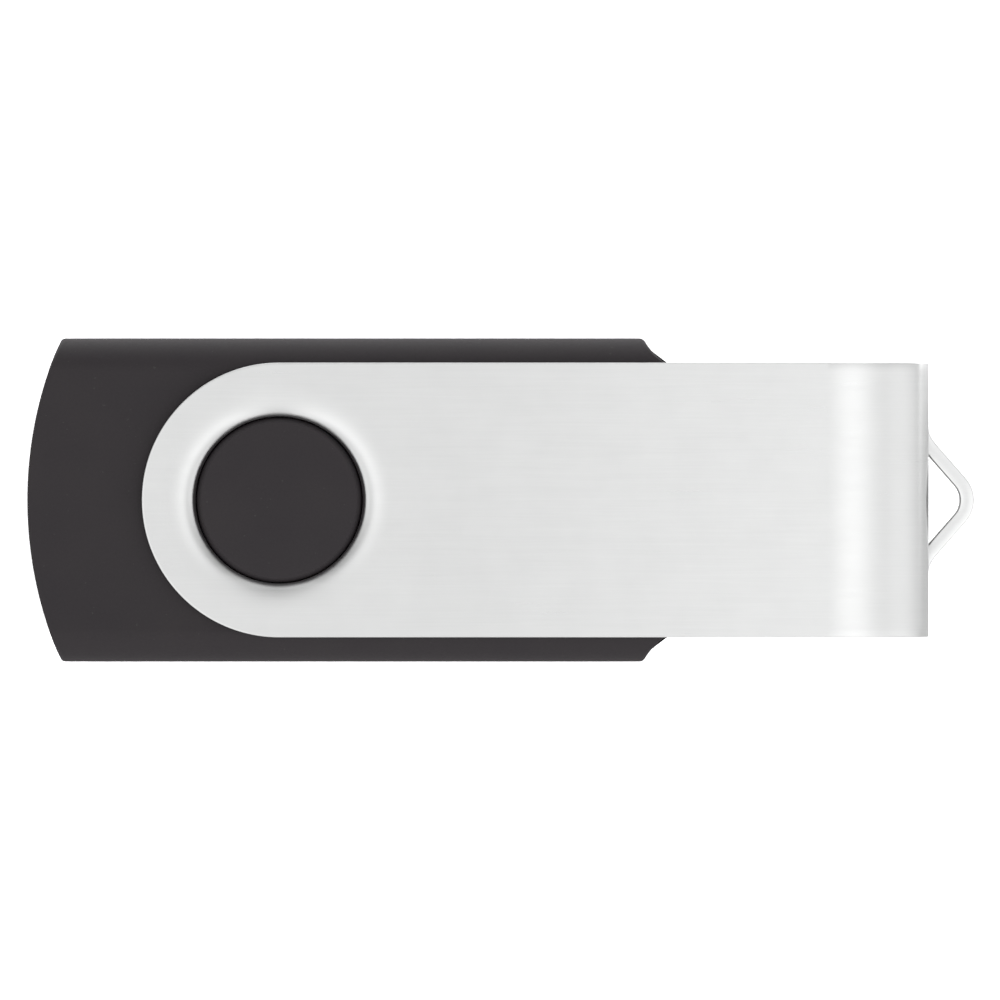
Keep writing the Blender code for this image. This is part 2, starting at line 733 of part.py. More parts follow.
def chip_component(name, material, place, height, underside=True):
    """A two-terminal part, 1.6 mm long and 0.8 mm wide, whose end caps stand a little proud of its body."""
    length, width, cap, proud = 1.6 * MM, 0.8 * MM, 0.35 * MM, 0.04 * MM
    end = length / 2
    waist = end - cap
    low = STAND_OFF
    high = STAND_OFF + height
    right = [
        (waist, low + proud),
        (waist, low),
        (end, low),
        (end, high),
        (waist, high),
        (waist, high - proud),
    ]
    left = [(-x, z) for x, z in reversed(right)]
    part = extruded(name, [right + left], -width / 2, width / 2, "XZ")
    mount_on_board(part, material, place, underside)


def passives():
    """Resistors are thin and dark. Capacitors and the ferrite bead are as tall as they are wide."""
    tall, thin = 0.8 * MM, 0.45 * MM
    chip_component("power_ferrite_bead", CERAMIC_DARK, (12.2 * MM, -1.6 * MM), tall, underside=False)
    chip_component("power_capacitor", CERAMIC_TAN, (12.2 * MM, -0.2 * MM), tall, underside=False)
    chip_component("controller_capacitor", CERAMIC_TAN, (3.2 * MM, -2.4 * MM), tall)
    chip_component("flash_capacitor", CERAMIC_TAN, (-10.4 * MM, 0), tall)
    chip_component("crystal_capacitor_a", CERAMIC_TAN, (3.2 * MM, 2.2 * MM), tall)
    chip_component("crystal_capacitor_b", CERAMIC_TAN, (3.2 * MM, 3.8 * MM), tall)
    chip_component("data_resistor_minus", CERAMIC_DARK, (15.3 * MM, 1.0 * MM), thin)
    chip_component("data_resistor_plus", CERAMIC_DARK, (15.3 * MM, -1.0 * MM), thin)
    chip_component("reset_resistor", CERAMIC_DARK, (3.2 * MM, -4.0 * MM), thin)


# ---------------------------------------------------------------- drive

top_shell()
bottom_shell()
swivel_clip()
plug_shield()
plug_insulator()
for contact in CONTACTS:
    plug_contact(*contact)
circuit_board()
flash_memory_chip()
controller_chip()
voltage_regulator()
crystal_oscillator()
passives()
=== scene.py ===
"""Looks of a swivel USB flash drive: matte black case, brushed aluminium clip and nickel-plated USB-A plug.

Metres, +Z up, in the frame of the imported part. New pieces are built with their heights counted from the
drive's mid-plane and are then raised to it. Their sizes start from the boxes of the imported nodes.
"""

import json
import math

import bmesh
import bpy
from mathutils import Matrix, Vector

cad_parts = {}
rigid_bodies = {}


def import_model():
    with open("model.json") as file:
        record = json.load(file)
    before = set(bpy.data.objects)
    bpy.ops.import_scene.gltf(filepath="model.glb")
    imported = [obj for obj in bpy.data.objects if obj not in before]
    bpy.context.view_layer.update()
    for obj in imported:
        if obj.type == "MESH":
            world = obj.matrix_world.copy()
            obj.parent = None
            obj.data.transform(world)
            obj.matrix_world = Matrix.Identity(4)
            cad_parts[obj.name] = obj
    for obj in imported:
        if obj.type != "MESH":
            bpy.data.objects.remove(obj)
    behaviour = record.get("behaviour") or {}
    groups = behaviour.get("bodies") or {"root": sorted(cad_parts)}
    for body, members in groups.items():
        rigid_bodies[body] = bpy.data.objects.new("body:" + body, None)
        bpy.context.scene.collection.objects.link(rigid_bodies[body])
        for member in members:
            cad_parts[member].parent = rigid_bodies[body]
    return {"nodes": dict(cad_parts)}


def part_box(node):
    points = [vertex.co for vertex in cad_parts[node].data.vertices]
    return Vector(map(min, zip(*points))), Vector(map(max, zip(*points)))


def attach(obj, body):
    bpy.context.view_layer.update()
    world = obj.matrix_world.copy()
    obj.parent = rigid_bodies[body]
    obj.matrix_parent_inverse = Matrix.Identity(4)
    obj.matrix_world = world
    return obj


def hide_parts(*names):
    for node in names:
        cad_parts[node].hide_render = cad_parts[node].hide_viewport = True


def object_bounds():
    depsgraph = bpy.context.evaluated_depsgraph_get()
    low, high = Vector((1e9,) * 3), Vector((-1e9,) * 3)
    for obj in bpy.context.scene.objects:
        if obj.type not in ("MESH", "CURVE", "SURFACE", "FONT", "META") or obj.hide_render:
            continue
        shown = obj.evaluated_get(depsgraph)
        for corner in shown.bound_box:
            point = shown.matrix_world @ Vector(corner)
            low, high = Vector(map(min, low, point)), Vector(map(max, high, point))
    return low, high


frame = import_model()
cad_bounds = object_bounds()

MM = 0.001
CLEARANCE = 0.1 * MM
# How far a cutter runs past the face it cuts, and the distance at which points count as one
OVERRUN = 1.0 * MM
MERGE = 0.0001 * MM
SKIN_MERGE = 0.001 * MM

CLIP_LOW, CLIP_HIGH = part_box("swivel_clip")
CASE_LOW, CASE_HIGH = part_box("top_shell")
PLUG_LOW, PLUG_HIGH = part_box("plug_shield")
BOARD_LOW, BOARD_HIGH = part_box("circuit_board")

MIDDLE = (CLIP_LOW.z + CLIP_HIGH.z) / 2
TOP = CLIP_HIGH.z - MIDDLE

# Clip: one strip of sheet metal, folded round the plug
SHEET = 0.8 * MM
CLIP_HALF = CLIP_HIGH.y
LOOP_REACH = 2.7 * MM
CLIP_END = CLIP_HIGH.x - LOOP_REACH
BEND_LENGTH = 6.0 * MM
UPRIGHT_END = 5.0 * MM
BOSS_RADIUS = 4.8 * MM
HOLE_RADIUS = BOSS_RADIUS + 0.04 * MM
DISH_RADIUS = 7.0 * MM
DISH_DEPTH = 0.22 * MM
LIP_DEPTH = 0.22 * MM
SHEET_EDGE = 0.06 * MM

# Lanyard loop: a strip of the bend, slit free above and below and pressed outwards to a point
LOOP_HEIGHT = 2.7 * MM
LOOP_SLIT = 0.25 * MM
LOOP_ANGLE = 41.2
LOOP_TIP_RADIUS = 1.9 * MM
LOOP_ROOT_RADIUS = 1.7 * MM

# Case: two halves that meet at the mid-plane
CASE_SIDE = CASE_HIGH.y
CASE_REAR = CASE_LOW.x
NECK_FACE = CASE_HIGH.x
CASE_FACE = TOP - SHEET - 0.2 * MM
REAR_RADIUS = 23.5 * MM
REAR_CORNER = 0.3 * MM
EDGE_REACH = 1.9 * MM
EDGE_RISE = 2.6 * MM
END_FILLET = 0.25 * MM
SEAM = 0.1 * MM
SEAM_CHAMFER = 0.12 * MM
SHOULDER = NECK_FACE - 2.5 * MM
SHOULDER_CORNER = 0.4 * MM
FLARE_RADIUS = 3.6 * MM
NECK_HALF = CLIP_HALF - 0.6 * MM
WALL = 1.3 * MM
CEILING = 2.7 * MM
CAVITY_FRONT = NECK_FACE - 3.5 * MM
BOSS_FACE_RADIUS = BOSS_RADIUS - 0.27 * MM
BOSS_CHAMFER = 0.52 * MM
BOSS_ROLL = 0.04 * MM
BOSS_WALL = 1.3 * MM
RECESS_RADIUS = 7.1 * MM
RECESS_FLOOR = CASE_FACE - 0.4 * MM
LIP_HEIGHT = 0.75 * MM
LIP_INSET = 0.8 * MM
REBATE_INSET = 0.65 * MM
LIP_FRONT = CAVITY_FRONT - 0.4 * MM

# Board: it lies on the lower half's ledge, between two pegs and under four posts
LEDGE_WIDTH = 1.7 * MM
PEG_RADIUS = 0.5 * MM
PEG_X = 12.0 * MM
PEG_Y = 7.2 * MM
PEG_ROOT = 0.3 * MM
POST_HALF = 0.4 * MM
POST_ROOT = 0.5 * MM
POST_X = (-11.6 * MM, 15.0 * MM)
POST_Y = 6.7 * MM
BOARD_TOP = BOARD_HIGH.z - MIDDLE
BOARD_BOTTOM = BOARD_LOW.z - MIDDLE

# Plug
PLUG_HALF = PLUG_HIGH.y
PLUG_TOP = PLUG_HIGH.z - MIDDLE
PLUG_SHEET = 0.3 * MM
PLUG_CORNER = 0.6 * MM
LEG_LENGTH = 1.5 * MM
LEG_TOP = 1.2 * MM
LEG_FOOT = -1.75 * MM
WINDOW_LENGTH = 2.0 * MM
WINDOW_WIDTH = 2.5 * MM
WINDOW_CORNER = 0.25 * MM
WINDOW_FROM_TIP = 5.2 * MM
WINDOW_SPACING = 5.8 * MM
PLUG_SEAM = 0.07 * MM
PLUG_EDGE = 0.05 * MM

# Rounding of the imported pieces' edges
SMALL_EDGE = 0.03 * MM
MOULDED_EDGE = 0.04 * MM

# The turns that bring a flat outline into a plane of the drive
PLANES = {
    "XY": Matrix.Identity(4),
    "YZ": Matrix(((0, 0, 1, 0), (1, 0, 0, 0), (0, 1, 0, 0), (0, 0, 0, 1))),
}


# ---------------------------------------------------------------- shapes


def new_piece(name, mesh, turn=0.0):
    """An object at the drive's mid-plane, turned about X."""
    piece = bpy.data.objects.new(name, mesh)
    piece.location = (0, 0, MIDDLE)
    piece.rotation_euler = (turn, 0, 0)
    bpy.context.scene.collection.objects.link(piece)
    return piece


def combine(target, tool, operation):
    """Adds a Boolean of target with tool, which is placed in target's own frame."""
    bpy.context.scene.collection.objects.link(tool)
    tool.parent = target
    modifier = target.modifiers.new(tool.name, "BOOLEAN")
    modifier.operation = operation
    modifier.solver = "EXACT"
    modifier.object = tool


def cut(target, tool):
    combine(target, tool, "DIFFERENCE")


def join(target, tool):
    combine(target, tool, "UNION")


def settle(piece, sharp_angle=30):
    """Makes the modifiers' result the piece's own mesh, drops their tools and smooths the shading."""
    graph = bpy.context.evaluated_depsgraph_get()
    mesh = bpy.data.meshes.new_from_object(piece.evaluated_get(graph))
    mesh.name = piece.name
    for tool in piece.children:
        bpy.data.objects.remove(tool)
    piece.modifiers.clear()
    piece.vertex_groups.clear()
    piece.data = mesh
    mesh.shade_smooth()
    mesh.set_sharp_from_angle(angle=math.radians(sharp_angle))
    normals = piece.modifiers.new("even_shading", "WEIGHTED_NORMAL")
    normals.keep_sharp = True
    return piece


def round_edges(piece, width, segments=2, angle=40):
    """Rounds every edge that is sharper than the angle."""
    bevel = piece.modifiers.new("round_edges", "BEVEL")
    bevel.width = width
    bevel.segments = segments
    bevel.limit_method = "ANGLE"
    bevel.angle_limit = math.radians(angle)


def extruded(name, outlines, low, high, plane="XY"):
    """A solid from low to high across its plane. Outlines after the first are holes."""
    curve = bpy.data.curves.new(name, "CURVE")
    curve.dimensions = "2D"
    curve.fill_mode = "BOTH"
    curve.extrude = (high - low) / 2
    for outline in outlines:
        spline = curve.splines.new("POLY")
        spline.points.add(len(outline) - 1)
        spline.use_cyclic_u = True
        for point, (across, up) in zip(spline.points, outline):
            point.co = (across, up, 0, 1)
    guide = bpy.data.objects.new(name + "_outline", curve)
    bpy.context.scene.collection.objects.link(guide)
    graph = bpy.context.evaluated_depsgraph_get()
    mesh = bpy.data.meshes.new_from_object(guide.evaluated_get(graph))
    bpy.data.objects.remove(guide)
    mesh.transform(PLANES[plane] @ Matrix.Translation((0, 0, (low + high) / 2)))
    shape = bmesh.new()
    shape.from_mesh(mesh)
    bmesh.ops.remove_doubles(shape, verts=shape.verts, dist=MERGE)
    bmesh.ops.recalc_face_normals(shape, faces=shape.faces)
    shape.to_mesh(mesh)
    shape.free()
    return bpy.data.objects.new(name, mesh)


def box(name, low, high):
    """A box between two corners."""
    outline = [(low[0], low[1]), (high[0], low[1]), (high[0], high[1]), (low[0], high[1])]
    return extruded(name, [outline], low[2], high[2])


def cylinder(name, center, radius, low, high, segments=48):
    """An upright cylinder between two heights."""
    shape = bmesh.new()
    bmesh.ops.create_cone(
        shape, segments=segments, radius1=radius, radius2=radius, depth=high - low, cap_ends=True
    )
    mesh = bpy.data.meshes.new(name)
    shape.to_mesh(mesh)
    shape.free()
    obj = bpy.data.objects.new(name, mesh)
    obj.location = (*center, (low + high) / 2)
    return obj


def turned(name, profile, steps=192):
    """A turned solid. The profile holds (radius, height) points, from top centre to bottom centre."""
    mesh = bpy.data.meshes.new(name)
    points = [(radius, 0, height) for radius, height in profile]
    mesh.from_pydata(points, [(i, i + 1) for i in range(len(points) - 1)], [])
    obj = bpy.data.objects.new(name, mesh)
    screw = obj.modifiers.new("turn", "SCREW")
    screw.steps = steps
    screw.render_steps = steps
    screw.use_merge_vertices = True
    screw.merge_threshold = SKIN_MERGE
    return obj


def arc(center, radius, start, end, steps):
    """Points from start to end, in degrees, on a circle round center."""
    angles = [math.radians(start + (end - start) * i / steps) for i in range(steps + 1)]
    return [(center[0] + radius * math.cos(a), center[1] + radius * math.sin(a)) for a in angles]


def mirrored(points):
    """The outline that points and their mirror image in the first axis make together."""
    return points + [(x, -y) for x, y in reversed(points) if y > 0]


def rounded_rectangle(width, height, corner, steps=8):
    """Outline of a rectangle with round corners, centred on the origin."""
    x = width / 2 - corner
    y = height / 2 - corner
    corners = ((x, y, 0), (-x, y, 90), (-x, -y, 180), (x, -y, 270))
    return [
        point
        for cx, cy, start in corners
        for point in arc((cx, cy), corner, start, start + 90, steps)
    ]


def add_rows(skin, rows, left_out=lambda row, column: False):
    """Joins successive rows of points with quads."""
    verts = [[skin.verts.new(point) for point in row] for row in rows]
    for row, (near, far) in enumerate(zip(verts, verts[1:])):
        for column in range(len(near) - 1):
            if not left_out(row, column):
                skin.faces.new((near[column], far[column], far[column + 1], near[column + 1]))


# ---------------------------------------------------------------- case

REAR_MIDDLE = CASE_REAR + REAR_RADIUS
REAR_CORNER_Y = CASE_SIDE - REAR_CORNER
REAR_CORNER_X = REAR_MIDDLE - math.sqrt((REAR_RADIUS - REAR_CORNER) ** 2 - REAR_CORNER_Y**2)
SHOULDER_CORNER_Y = CASE_SIDE - SHOULDER_CORNER
FLARE_Y = NECK_HALF + FLARE_RADIUS
FLARE_X = SHOULDER + math.sqrt(
    (FLARE_RADIUS + SHOULDER_CORNER) ** 2 - (FLARE_Y - SHOULDER_CORNER_Y) ** 2
)
NECK_CORNER_Y = FLARE_Y - math.sqrt(FLARE_RADIUS**2 - (FLARE_X - NECK_FACE) ** 2)


def rear_end(y):
    """Where the case ends behind at y, and how squarely that end faces back: a bow with round corners."""
    if y * (REAR_RADIUS - REAR_CORNER) <= REAR_CORNER_Y * REAR_RADIUS:
        square = math.sqrt(1 - (y / REAR_RADIUS) ** 2)
        return REAR_MIDDLE - REAR_RADIUS * square, square
    square = math.sqrt(max(1 - ((y - REAR_CORNER_Y) / REAR_CORNER) ** 2, 0))
    return REAR_CORNER_X - REAR_CORNER * square, square


def front_end(y):
    """The same in front: a flat neck that flares out to round shoulders."""
    shoulder_reach = FLARE_RADIUS + SHOULDER_CORNER
    flare_end = SHOULDER_CORNER_Y + SHOULDER_CORNER * (FLARE_Y - SHOULDER_CORNER_Y) / shoulder_reach
    if y <= NECK_CORNER_Y:
        return NECK_FACE, 1.0
    if y <= flare_end:
        square = math.sqrt(1 - ((FLARE_Y - y) / FLARE_RADIUS) ** 2)
        return FLARE_X - FLARE_RADIUS * square, square
    square = math.sqrt(max(1 - ((y - SHOULDER_CORNER_Y) / SHOULDER_CORNER) ** 2, 0))
    return SHOULDER + SHOULDER_CORNER * square, square


def case_lines(flat_steps=20, edge_steps=36):
    """Lines along X over one side of a half's face: y, height and the face's normal in Y and Z."""
    flat = CASE_SIDE - EDGE_REACH
    across = sorted([flat * i / flat_steps for i in range(flat_steps)] + [NECK_CORNER_Y])
    lines = [(y, CASE_FACE, 0.0, 1.0) for y in across]
    for i in range(edge_steps + 1):
        turn = math.pi / 2 * i / edge_steps
        y = flat + EDGE_REACH * math.sin(turn)
        height = CASE_FACE - EDGE_RISE * (1 - math.cos(turn))
        normal = Vector((math.sin(turn) / EDGE_REACH, math.cos(turn) / EDGE_RISE)).normalized()
        lines.append((y, height, *normal))
    return lines


def line_points(y, height, normal_y, normal_z, steps=6):
    """One line of the face, with the fillets that turn its two ends down into the end walls."""

    def fillet(end, inwards):
        radius = END_FILLET * end(y)[1]
        points = []
        for i in range(steps + 1):
            turn = math.pi / 2 * (1 - i / steps)
            depth = radius * (1 - math.cos(turn))
            across = y - normal_y * depth
            x = end(across)[0] + inwards * radius * (1 - math.sin(turn))
            points.append((x, across, height - normal_z * depth))
        return points

    return fillet(rear_end, 1) + fillet(front_end, -1)[::-1]


def draw_down(shape, height, inset):
    """Draws the shape's open rim down to a height, moving it inwards."""
    shape.normal_update()
    rim = [edge for edge in shape.edges if edge.is_boundary]
    normals = {vert.co.to_tuple(): vert.normal.copy() for edge in rim for vert in edge.verts}
    made = bmesh.ops.extrude_edge_only(shape, edges=rim)["geom"]
    for vert in made:
        if isinstance(vert, bmesh.types.BMVert):
            vert.co -= inset * normals[vert.co.to_tuple()]
            vert.co.z = height


def case_block(name, turn):
    """One half of the case as a solid, with its mid-plane at height 0 and its face up before the turn."""
    side = [line_points(*line) for line in case_lines()]
    other_side = [[(x, -y, z) for x, y, z in row] for row in side[:0:-1]]
    shape = bmesh.new()
    add_rows(shape, other_side + side)
    bmesh.ops.remove_doubles(shape, verts=shape.verts, dist=MERGE)
    bmesh.ops.recalc_face_normals(shape, faces=shape.faces)
    draw_down(shape, SEAM / 2 + SEAM_CHAMFER, 0)
    draw_down(shape, SEAM / 2, SEAM_CHAMFER)
    # In triangles, because Booleans lose edges of one large face with many corners in line
    cap = bmesh.ops.contextual_create(shape, geom=[e for e in shape.edges if e.is_boundary])["faces"]
    bmesh.ops.triangulate(shape, faces=cap)
    bmesh.ops.recalc_face_normals(shape, faces=shape.faces)
    mesh = bpy.data.meshes.new(name)
    shape.to_mesh(mesh)
    shape.free()
    return new_piece(name, mesh, turn)


def case_plan(inset, front):
    """The case in plan, moved in by inset and cut square at front."""
    side = CASE_SIDE - inset
    radius = REAR_RADIUS - inset
    turn = 180 - math.degrees(math.asin(side / radius))
    return mirrored([(front, side)] + arc((REAR_MIDDLE, 0), radius, turn, 180, 12))


def boss_profile():
    """Half outline of the boss: a flat face whose edge rolls over into a steep chamfer."""
    foot = (RECESS_FLOOR + CEILING) / 2
    steepness = math.degrees(math.atan2(BOSS_CHAMFER, BOSS_RADIUS - BOSS_FACE_RADIUS))
    roll_middle = (BOSS_FACE_RADIUS - BOSS_ROLL * math.tan(math.radians(steepness / 2)), TOP - BOSS_ROLL)
    roll = arc(roll_middle, BOSS_ROLL, 90, 90 - steepness, 6)
    return [(0, TOP)] + roll + [(BOSS_RADIUS, TOP - BOSS_CHAMFER), (BOSS_RADIUS, foot), (0, foot)]


def case_half(name, turn):
    """A half with its pivot boss, standing in the sunk ring that takes the clip's dish."""
    half = case_block(name, turn)
    cut(half, cylinder("recess", (0, 0), RECESS_RADIUS, RECESS_FLOOR, TOP, 96))
    join(half, turned("boss", boss_profile()))
    return half


def open_half(half):
    """Cores the boss from inside, and lets the plug out through the neck."""
    core_radius = BOSS_RADIUS - BOSS_WALL
    cut(half, cylinder("boss_core", (0, 0), core_radius, CEILING - OVERRUN, TOP - BOSS_WALL))
    gap = 1.5 * CLEARANCE
    opening = rounded_rectangle(2 * (PLUG_HALF + gap), 2 * (PLUG_TOP + gap), PLUG_CORNER + gap)
    cut(half, extruded("opening", [opening], CAVITY_FRONT - OVERRUN, NECK_FACE + OVERRUN, "YZ"))


def add_board_posts(shell):
    """Square posts under the roof, which hold the board down on the lower half's ledge."""
    foot = BOARD_TOP + CLEARANCE
    head = CEILING + POST_ROOT
    for x in POST_X:
        for y in (-POST_Y, POST_Y):
            low = (x - POST_HALF, y - POST_HALF, foot)
            high = (x + POST_HALF, y + POST_HALF, head)
            join(shell, box("board_post", low, high))


def top_shell():
    shell = case_half("case_top", 0)
    cut(shell, extruded("cavity", [case_plan(WALL, CAVITY_FRONT)], -OVERRUN, CEILING))
    rebate = case_plan(REBATE_INSET, LIP_FRONT + CLEARANCE)
    cut(shell, extruded("rebate", [rebate], -OVERRUN, LIP_HEIGHT + 1.5 * CLEARANCE))
    open_half(shell)
    add_board_posts(shell)
    return settle(shell)


def bottom_shell():
    """The half with the lip, the board's ledge, and two pegs that take the push on the plug."""
    shell = case_half("case_bottom", math.pi)
    join(shell, extruded("lip", [case_plan(LIP_INSET, LIP_FRONT)], -LIP_HEIGHT, CLEARANCE + SEAM))
    ledge = CLEARANCE - BOARD_BOTTOM
    cut(shell, extruded("upper_cavity", [case_plan(WALL, CAVITY_FRONT)], -OVERRUN, ledge))
    below_board = case_plan(WALL + LEDGE_WIDTH, CAVITY_FRONT)
    cut(shell, extruded("lower_cavity", [below_board], ledge - CLEARANCE, CEILING))
    open_half(shell)
    for y in (-PEG_Y, PEG_Y):
        join(shell, cylinder("board_peg", (PEG_X, y), PEG_RADIUS, -BOARD_TOP, ledge + PEG_ROOT))
    return settle(shell)


# ---------------------------------------------------------------- clip


def loop_bulge(y):
    """How far the lanyard loop stands out at y, and the cosine of its slope there.

    Each leg is straight between a round tip and a round root that ends flush with the bend.
    """
    slope = math.radians(LOOP_ANGLE)
    across = abs(y)
    sharp_tip = LOOP_REACH + LOOP_TIP_RADIUS * (1 / math.cos(slope) - 1)
    tip_end = LOOP_TIP_RADIUS * math.sin(slope)
    sharp_root = sharp_tip / math.tan(slope)
    root_edge = sharp_root + LOOP_ROOT_RADIUS * math.tan(slope / 2)
    root_start = root_edge - LOOP_ROOT_RADIUS * math.sin(slope)
    if across >= root_edge:
        return 0.0, 1.0
    if across < tip_end:
        rise = math.sqrt(LOOP_TIP_RADIUS**2 - across**2)
        return LOOP_REACH - LOOP_TIP_RADIUS + rise, rise / LOOP_TIP_RADIUS
    if across > root_start:
        rise = math.sqrt(LOOP_ROOT_RADIUS**2 - (root_edge - across) ** 2)
        return LOOP_ROOT_RADIUS - rise, rise / LOOP_ROOT_RADIUS
    return sharp_tip - across * math.tan(slope), math.cos(slope)


def dish_drop(radius):
    """How far the sheet is pressed in at a distance from the pivot: a dish, rolled over at the hole."""
    share = max((DISH_RADIUS - radius) / (DISH_RADIUS - HOLE_RADIUS), 0)
    return DISH_DEPTH * share**3 + LIP_DEPTH * share**8


def arm_rings(steps, rings):
    """Rings of points from the pivot hole out to the arm's edge, round behind and square in front."""
    directions = [math.tau * i / steps for i in range(steps + 1)]
    rows = []
    for ring in range(rings + 1):
        radius = HOLE_RADIUS + (DISH_RADIUS - HOLE_RADIUS) * ring / rings
        height = TOP - dish_drop(radius)
        rows.append([(radius * math.cos(a), radius * math.sin(a), height) for a in directions])
    for inset in (2 * SHEET_EDGE, 0):
        row = []
        for a in directions:
            reach = CLIP_HALF / max(math.cos(a), abs(math.sin(a))) if math.cos(a) > 0 else CLIP_HALF
            row.append(((reach - inset) * math.cos(a), (reach - inset) * math.sin(a), TOP))
        rows.append(row)
    return rows


def bend_rows(across, steps):
    """Rows of points down the upper half of the bend: an ellipse quadrant, then half of the upright end."""
    start = CLIP_END - BEND_LENGTH
    foot = UPRIGHT_END / 2
    angles = [math.pi / 2 * (1 - i / steps) for i in range(steps + 1)]
    section = [
        (start + BEND_LENGTH * math.cos(a), foot + (TOP - foot) * math.sin(a)) for a in angles
    ]
    section += [(CLIP_END, height) for height in (LOOP_HEIGHT / 2 + LOOP_SLIT, LOOP_HEIGHT / 2, 0)]
    return [[(x, y, height) for y in across] for x, height in section]


def press_out_loop(skin):
    """Moves the strip that the slits free outwards."""
    for vert in skin.verts:
        if vert.co.x > CLIP_END - CLEARANCE and vert.co.z < (LOOP_HEIGHT + LOOP_SLIT) / 2:
            vert.co.x += loop_bulge(vert.co.y)[0]


def clip_skin(steps, rings, bend_steps):
    """The clip's outer skin above the mid-plane: arm, upper half of the bend and upper half of the loop."""
    across = [
        CLIP_HALF * math.tan(math.tau * i / steps) for i in range(-steps // 8, steps // 8 + 1)
    ]
    # The slits end on one of the lines across, which lie at equal angles from the pivot
    slit_end = CLIP_HALF * math.tan(math.radians(30))

    def in_slit(row, column):
        middle = (across[column] + across[column + 1]) / 2
        return row == bend_steps + 1 and abs(middle) < slit_end

    skin = bmesh.new()
    add_rows(skin, arm_rings(steps, rings))
    add_rows(skin, [[(x, y, TOP) for y in across] for x in (CLIP_HALF, CLIP_END - BEND_LENGTH)])
    add_rows(skin, bend_rows(across, bend_steps), in_slit)
    bmesh.ops.remove_doubles(skin, verts=skin.verts, dist=SKIN_MERGE)
    press_out_loop(skin)
    return skin


def swivel_clip():
    """The skin mirrored below the mid-plane and thickened inwards, thinner along the loop's legs."""
    skin = clip_skin(steps=192, rings=12, bend_steps=40)
    mesh = bpy.data.meshes.new("clip")
    skin.to_mesh(mesh)
    skin.free()
    clip = new_piece("clip", mesh)
    thickness = clip.vertex_groups.new(name="sheet_thickness")
    for vert in mesh.vertices:
        slope = loop_bulge(vert.co.y)[1] if vert.co.x > CLIP_END else 1
        thickness.add([vert.index], (3 + slope) / 4, "REPLACE")
    mirror = clip.modifiers.new("lower_half", "MIRROR")
    mirror.use_axis = (False, False, True)
    mirror.merge_threshold = SKIN_MERGE
    solidify = clip.modifiers.new("sheet", "SOLIDIFY")
    solidify.thickness = SHEET
    solidify.offset = -1
    solidify.use_even_offset = True
    solidify.vertex_group = thickness.name
    round_edges(clip, SHEET_EDGE, segments=3, angle=55)
    return settle(clip, 40)


# ---------------------------------------------------------------- plug


def plug_shield():
    """Drawn tube with latch windows and a seam underneath. Its sides run on behind as solder legs."""
    outer = rounded_rectangle(2 * PLUG_HALF, 2 * PLUG_TOP, PLUG_CORNER)
    inner = rounded_rectangle(
        2 * (PLUG_HALF - PLUG_SHEET), 2 * (PLUG_TOP - PLUG_SHEET), PLUG_CORNER - PLUG_SHEET
    )
    tube = extruded("tube", [outer, inner], PLUG_LOW.x, PLUG_HIGH.x, "YZ")
    shield = new_piece("shield", tube.data)
    window = rounded_rectangle(WINDOW_LENGTH, WINDOW_WIDTH, WINDOW_CORNER)
    window_x = PLUG_HIGH.x - WINDOW_FROM_TIP - WINDOW_LENGTH / 2
    for side in (-1, 1):
        y = side * WINDOW_SPACING / 2
        outline = [(window_x + along, y + across) for along, across in window]
        cut(shield, extruded("window", [outline], -2 * PLUG_TOP, 2 * PLUG_TOP))
    rear = PLUG_LOW.x - OVERRUN
    front = PLUG_LOW.x + LEG_LENGTH
    inside = PLUG_HALF - 1.5 * PLUG_SHEET
    wide = 2 * PLUG_HALF
    high = 2 * PLUG_TOP
    cut(shield, box("between_legs", (rear, -inside, -high), (front, inside, high)))
    cut(shield, box("above_legs", (rear, -wide, LEG_TOP), (front, wide, high)))
    cut(shield, box("below_legs", (rear, -wide, -high), (front, wide, LEG_FOOT)))
    seam_low = (rear, -PLUG_SEAM / 2, -high)
    seam_high = (PLUG_HIGH.x + OVERRUN, PLUG_SEAM / 2, -PLUG_TOP + PLUG_SHEET / 2)
    cut(shield, box("seam", seam_low, seam_high))
    round_edges(shield, PLUG_EDGE)
    return settle(shield)


# ---------------------------------------------------------------- materials


def node(tree, kind, inputs=None, **settings):
    """Adds a shader node. An input is a value, or the output socket of another node."""
    made = tree.nodes.new("ShaderNode" + kind)
    for name, value in settings.items():
        setattr(made, name, value)
    for name, value in (inputs or {}).items():
        if isinstance(value, bpy.types.NodeSocket):
            tree.links.new(value, made.inputs[name])
        else:
            made.inputs[name].default_value = value
    return made


def new_material(name):
    """A material, its node tree and its Principled BSDF."""
    material = bpy.data.materials.new(name)
    material.use_nodes = True
    tree = material.node_tree
    return material, tree, tree.nodes["Principled BSDF"]


def grain(tree, per_mm, detail=2.0):
    """Noise from 0 to 1 over the piece, with so many grains a millimetre along each axis."""
    place = node(tree, "TexCoord").outputs["Object"]
    scaled = node(tree, "Mapping", {"Vector": place, "Scale": [n / MM for n in per_mm]})
    noise = node(
        tree, "TexNoise", {"Vector": scaled.outputs["Vector"], "Scale": 1.0, "Detail": detail}
    )
    return noise.outputs["Fac"]


def remap(tree, value, low, high, start=0.0, end=1.0):
    """Value, which runs from start to end, stretched to run from low to high."""
    stretched = node(
        tree,
        "MapRange",
        {"Value": value, "From Min": start, "From Max": end, "To Min": low, "To Max": high},
    )
    return stretched.outputs["Result"]


def tint(tree, share, dark, light):
    """A colour between dark and light."""
    mixed = node(tree, "Mix", {"Factor": share}, data_type="RGBA")
    mixed.inputs[6].default_value = (*dark, 1)
    mixed.inputs[7].default_value = (*light, 1)
    return mixed.outputs[2]


def bump(tree, height, depth, strength=1.0):
    """A surface normal for a height that runs from 0 to depth."""
    bumped = node(tree, "Bump", {"Height": height, "Distance": depth, "Strength": strength})
    return bumped.outputs["Normal"]


